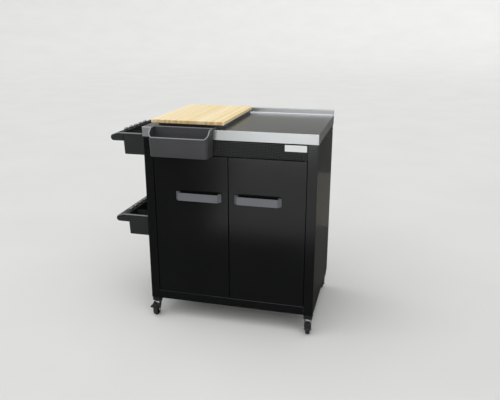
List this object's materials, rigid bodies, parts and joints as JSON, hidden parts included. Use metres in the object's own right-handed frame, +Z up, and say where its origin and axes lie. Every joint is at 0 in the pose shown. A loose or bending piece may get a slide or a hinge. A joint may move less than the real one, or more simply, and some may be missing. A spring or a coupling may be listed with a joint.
{
  "type": "outdoor kitchen cabinet",
  "caption": "Black steel kitchen cabinet on casters with a stainless worktop, hinged doors, strap handles, a bamboo board on a tray, a hanging waste bin and hook-on side bins.",
  "frame": {"origin": "on the floor, under the middle of the whole object's box, side bins and waste bin included", "axes": "+Z up, +X to the right seen from the front, +Y from the doors towards the back"},
  "size_m": [0.957, 0.612, 0.94],
  "materials": {
    "black_steel": "satin black powder coat",
    "stainless": "brushed stainless sheet",
    "zinc_steel": "zinc-plated",
    "plate_silver": "satin, bare",
    "black_plastic": "moulded",
    "handle_grey": "satin grey",
    "grey_plastic": "fine moulded grain",
    "bamboo": "oiled laminated bamboo",
    "caster_chrome": "bright plate",
    "tyre_black": "solid tread"
  },
  "bodies": {
    "cabinet": {"front_left_post": "black_steel", "front_right_post": "black_steel", "rear_left_post": "black_steel", "rear_right_post": "black_steel", "left_side_panel": "black_steel", "right_side_panel": "black_steel", "back_panel": "black_steel", "back_panel_screws": "zinc_steel", "base_panel": "black_steel", "front_fascia": "black_steel", "blank_plate": "plate_silver", "worktop": "stainless", "worktop_bearers": "zinc_steel", "inner_shelf": "black_steel", "shelf_brackets": "black_steel", "left_door_pins": "zinc_steel", "right_door_pins": "zinc_steel", "magnet_catch": "black_plastic", "caster_sockets": "black_plastic", "upper_hook_rail": "black_steel", "lower_hook_rail": "black_steel", "hook_rail_screws": "zinc_steel", "front_left_caster_stem": "caster_chrome", "front_right_caster_stem": "caster_chrome", "rear_left_caster_stem": "caster_chrome", "rear_right_caster_stem": "caster_chrome"},
    "left_door": {"left_door_panel": "black_steel", "left_door_bushes": "black_plastic", "left_handle": "handle_grey", "left_handle_screws": "zinc_steel", "left_door_strike": "zinc_steel"},
    "right_door": {"right_door_panel": "black_steel", "right_door_bushes": "black_plastic", "right_handle": "handle_grey", "right_handle_screws": "zinc_steel", "right_door_strike": "zinc_steel"},
    "board_tray": {"board_tray": "grey_plastic", "tray_strips": "tyre_black"},
    "chopping_board": {"chopping_board": "bamboo"},
    "waste_bin": {"waste_bin": "grey_plastic"},
    "upper_side_bin": {"upper_side_bin": "grey_plastic"},
    "lower_side_bin": {"lower_side_bin": "grey_plastic"},
    "front_left_swivel": {"front_left_fork": "caster_chrome", "front_left_axle": "zinc_steel"},
    "front_left_wheel": {"front_left_wheel_hub": "black_plastic", "front_left_tyre": "tyre_black"},
    "front_left_brake": {"front_left_brake_lever": "black_plastic"},
    "front_right_swivel": {"front_right_fork": "caster_chrome", "front_right_axle": "zinc_steel"},
    "front_right_wheel": {"front_right_wheel_hub": "black_plastic", "front_right_tyre": "tyre_black"},
    "front_right_brake": {"front_right_brake_lever": "black_plastic"},
    "rear_left_swivel": {"rear_left_fork": "caster_chrome", "rear_left_axle": "zinc_steel"},
    "rear_left_wheel": {"rear_left_wheel_hub": "black_plastic", "rear_left_tyre": "tyre_black"},
    "rear_right_swivel": {"rear_right_fork": "caster_chrome", "rear_right_axle": "zinc_steel"},
    "rear_right_wheel": {"rear_right_wheel_hub": "black_plastic", "rear_right_tyre": "tyre_black"}
  },
  "joints": [
    {"name": "left_door_hinge", "type": "hinge", "parent": "cabinet", "child": "left_door", "pos_m": [-0.2368, -0.214, 0.13], "axis": [0, 0, -1], "range_deg": [0, 110]},
    {"name": "right_door_hinge", "type": "hinge", "parent": "cabinet", "child": "right_door", "pos_m": [0.4238, -0.214, 0.13], "axis": [0, 0, 1], "range_deg": [0, 110]},
    {"name": "tray_lift", "type": "slide", "parent": "cabinet", "child": "board_tray", "axis": [0, 0, 1], "range_m": [0, 0.1]},
    {"name": "board_lift", "type": "slide", "parent": "board_tray", "child": "chopping_board", "axis": [0, 0, 1], "range_m": [0, 0.15]},
    {"name": "waste_bin_pull", "type": "slide", "parent": "cabinet", "child": "waste_bin", "axis": [0, -1, 0], "range_m": [0, 0.065]},
    {"name": "upper_side_bin_lift", "type": "slide", "parent": "cabinet", "child": "upper_side_bin", "axis": [0, 0, 1], "range_m": [0, 0.012]},
    {"name": "lower_side_bin_lift", "type": "slide", "parent": "cabinet", "child": "lower_side_bin", "axis": [0, 0, 1], "range_m": [0, 0.012]},
    {"name": "front_left_swivel_turn", "type": "hinge", "parent": "cabinet", "child": "front_left_swivel", "pos_m": [-0.2683, -0.1998, 0.0657], "axis": [0, 0, 1], "continuous": true},
    {"name": "front_left_wheel_spin", "type": "hinge", "parent": "front_left_swivel", "child": "front_left_wheel", "pos_m": [-0.26893, -0.21779, 0.025], "axis": [0.9994, -0.0349, 0], "continuous": true},
    {"name": "front_left_brake_press", "type": "hinge", "parent": "front_left_swivel", "child": "front_left_brake", "pos_m": [-0.26921, -0.22578, 0.0545], "axis": [0.9994, -0.0349, 0], "range_deg": [0, 8]},
    {"name": "front_right_swivel_turn", "type": "hinge", "parent": "cabinet", "child": "front_right_swivel", "pos_m": [0.4553, -0.1998, 0.0657], "axis": [0, 0, 1], "continuous": true},
    {"name": "front_right_wheel_spin", "type": "hinge", "parent": "front_right_swivel", "child": "front_right_wheel", "pos_m": [0.45687, -0.21773, 0.025], "axis": [0.9962, 0.0872, 0], "continuous": true},
    {"name": "front_right_brake_press", "type": "hinge", "parent": "front_right_swivel", "child": "front_right_brake", "pos_m": [0.45757, -0.2257, 0.0545], "axis": [0.9962, 0.0872, 0], "range_deg": [0, 8]},
    {"name": "rear_left_swivel_turn", "type": "hinge", "parent": "cabinet", "child": "rear_left_swivel", "pos_m": [-0.2683, 0.2818, 0.0657], "axis": [0, 0, 1], "continuous": true},
    {"name": "rear_left_wheel_spin", "type": "hinge", "parent": "rear_left_swivel", "child": "rear_left_wheel", "pos_m": [-0.26456, 0.26419, 0.025], "axis": [0.9781, 0.2079, 0], "continuous": true},
    {"name": "rear_right_swivel_turn", "type": "hinge", "parent": "cabinet", "child": "rear_right_swivel", "pos_m": [0.4553, 0.2818, 0.0657], "axis": [0, 0, 1], "continuous": true},
    {"name": "rear_right_wheel_spin", "type": "hinge", "parent": "rear_right_swivel", "child": "rear_right_wheel", "pos_m": [0.45467, 0.26381, 0.025], "axis": [0.9994, -0.0349, 0], "continuous": true}
  ]
}
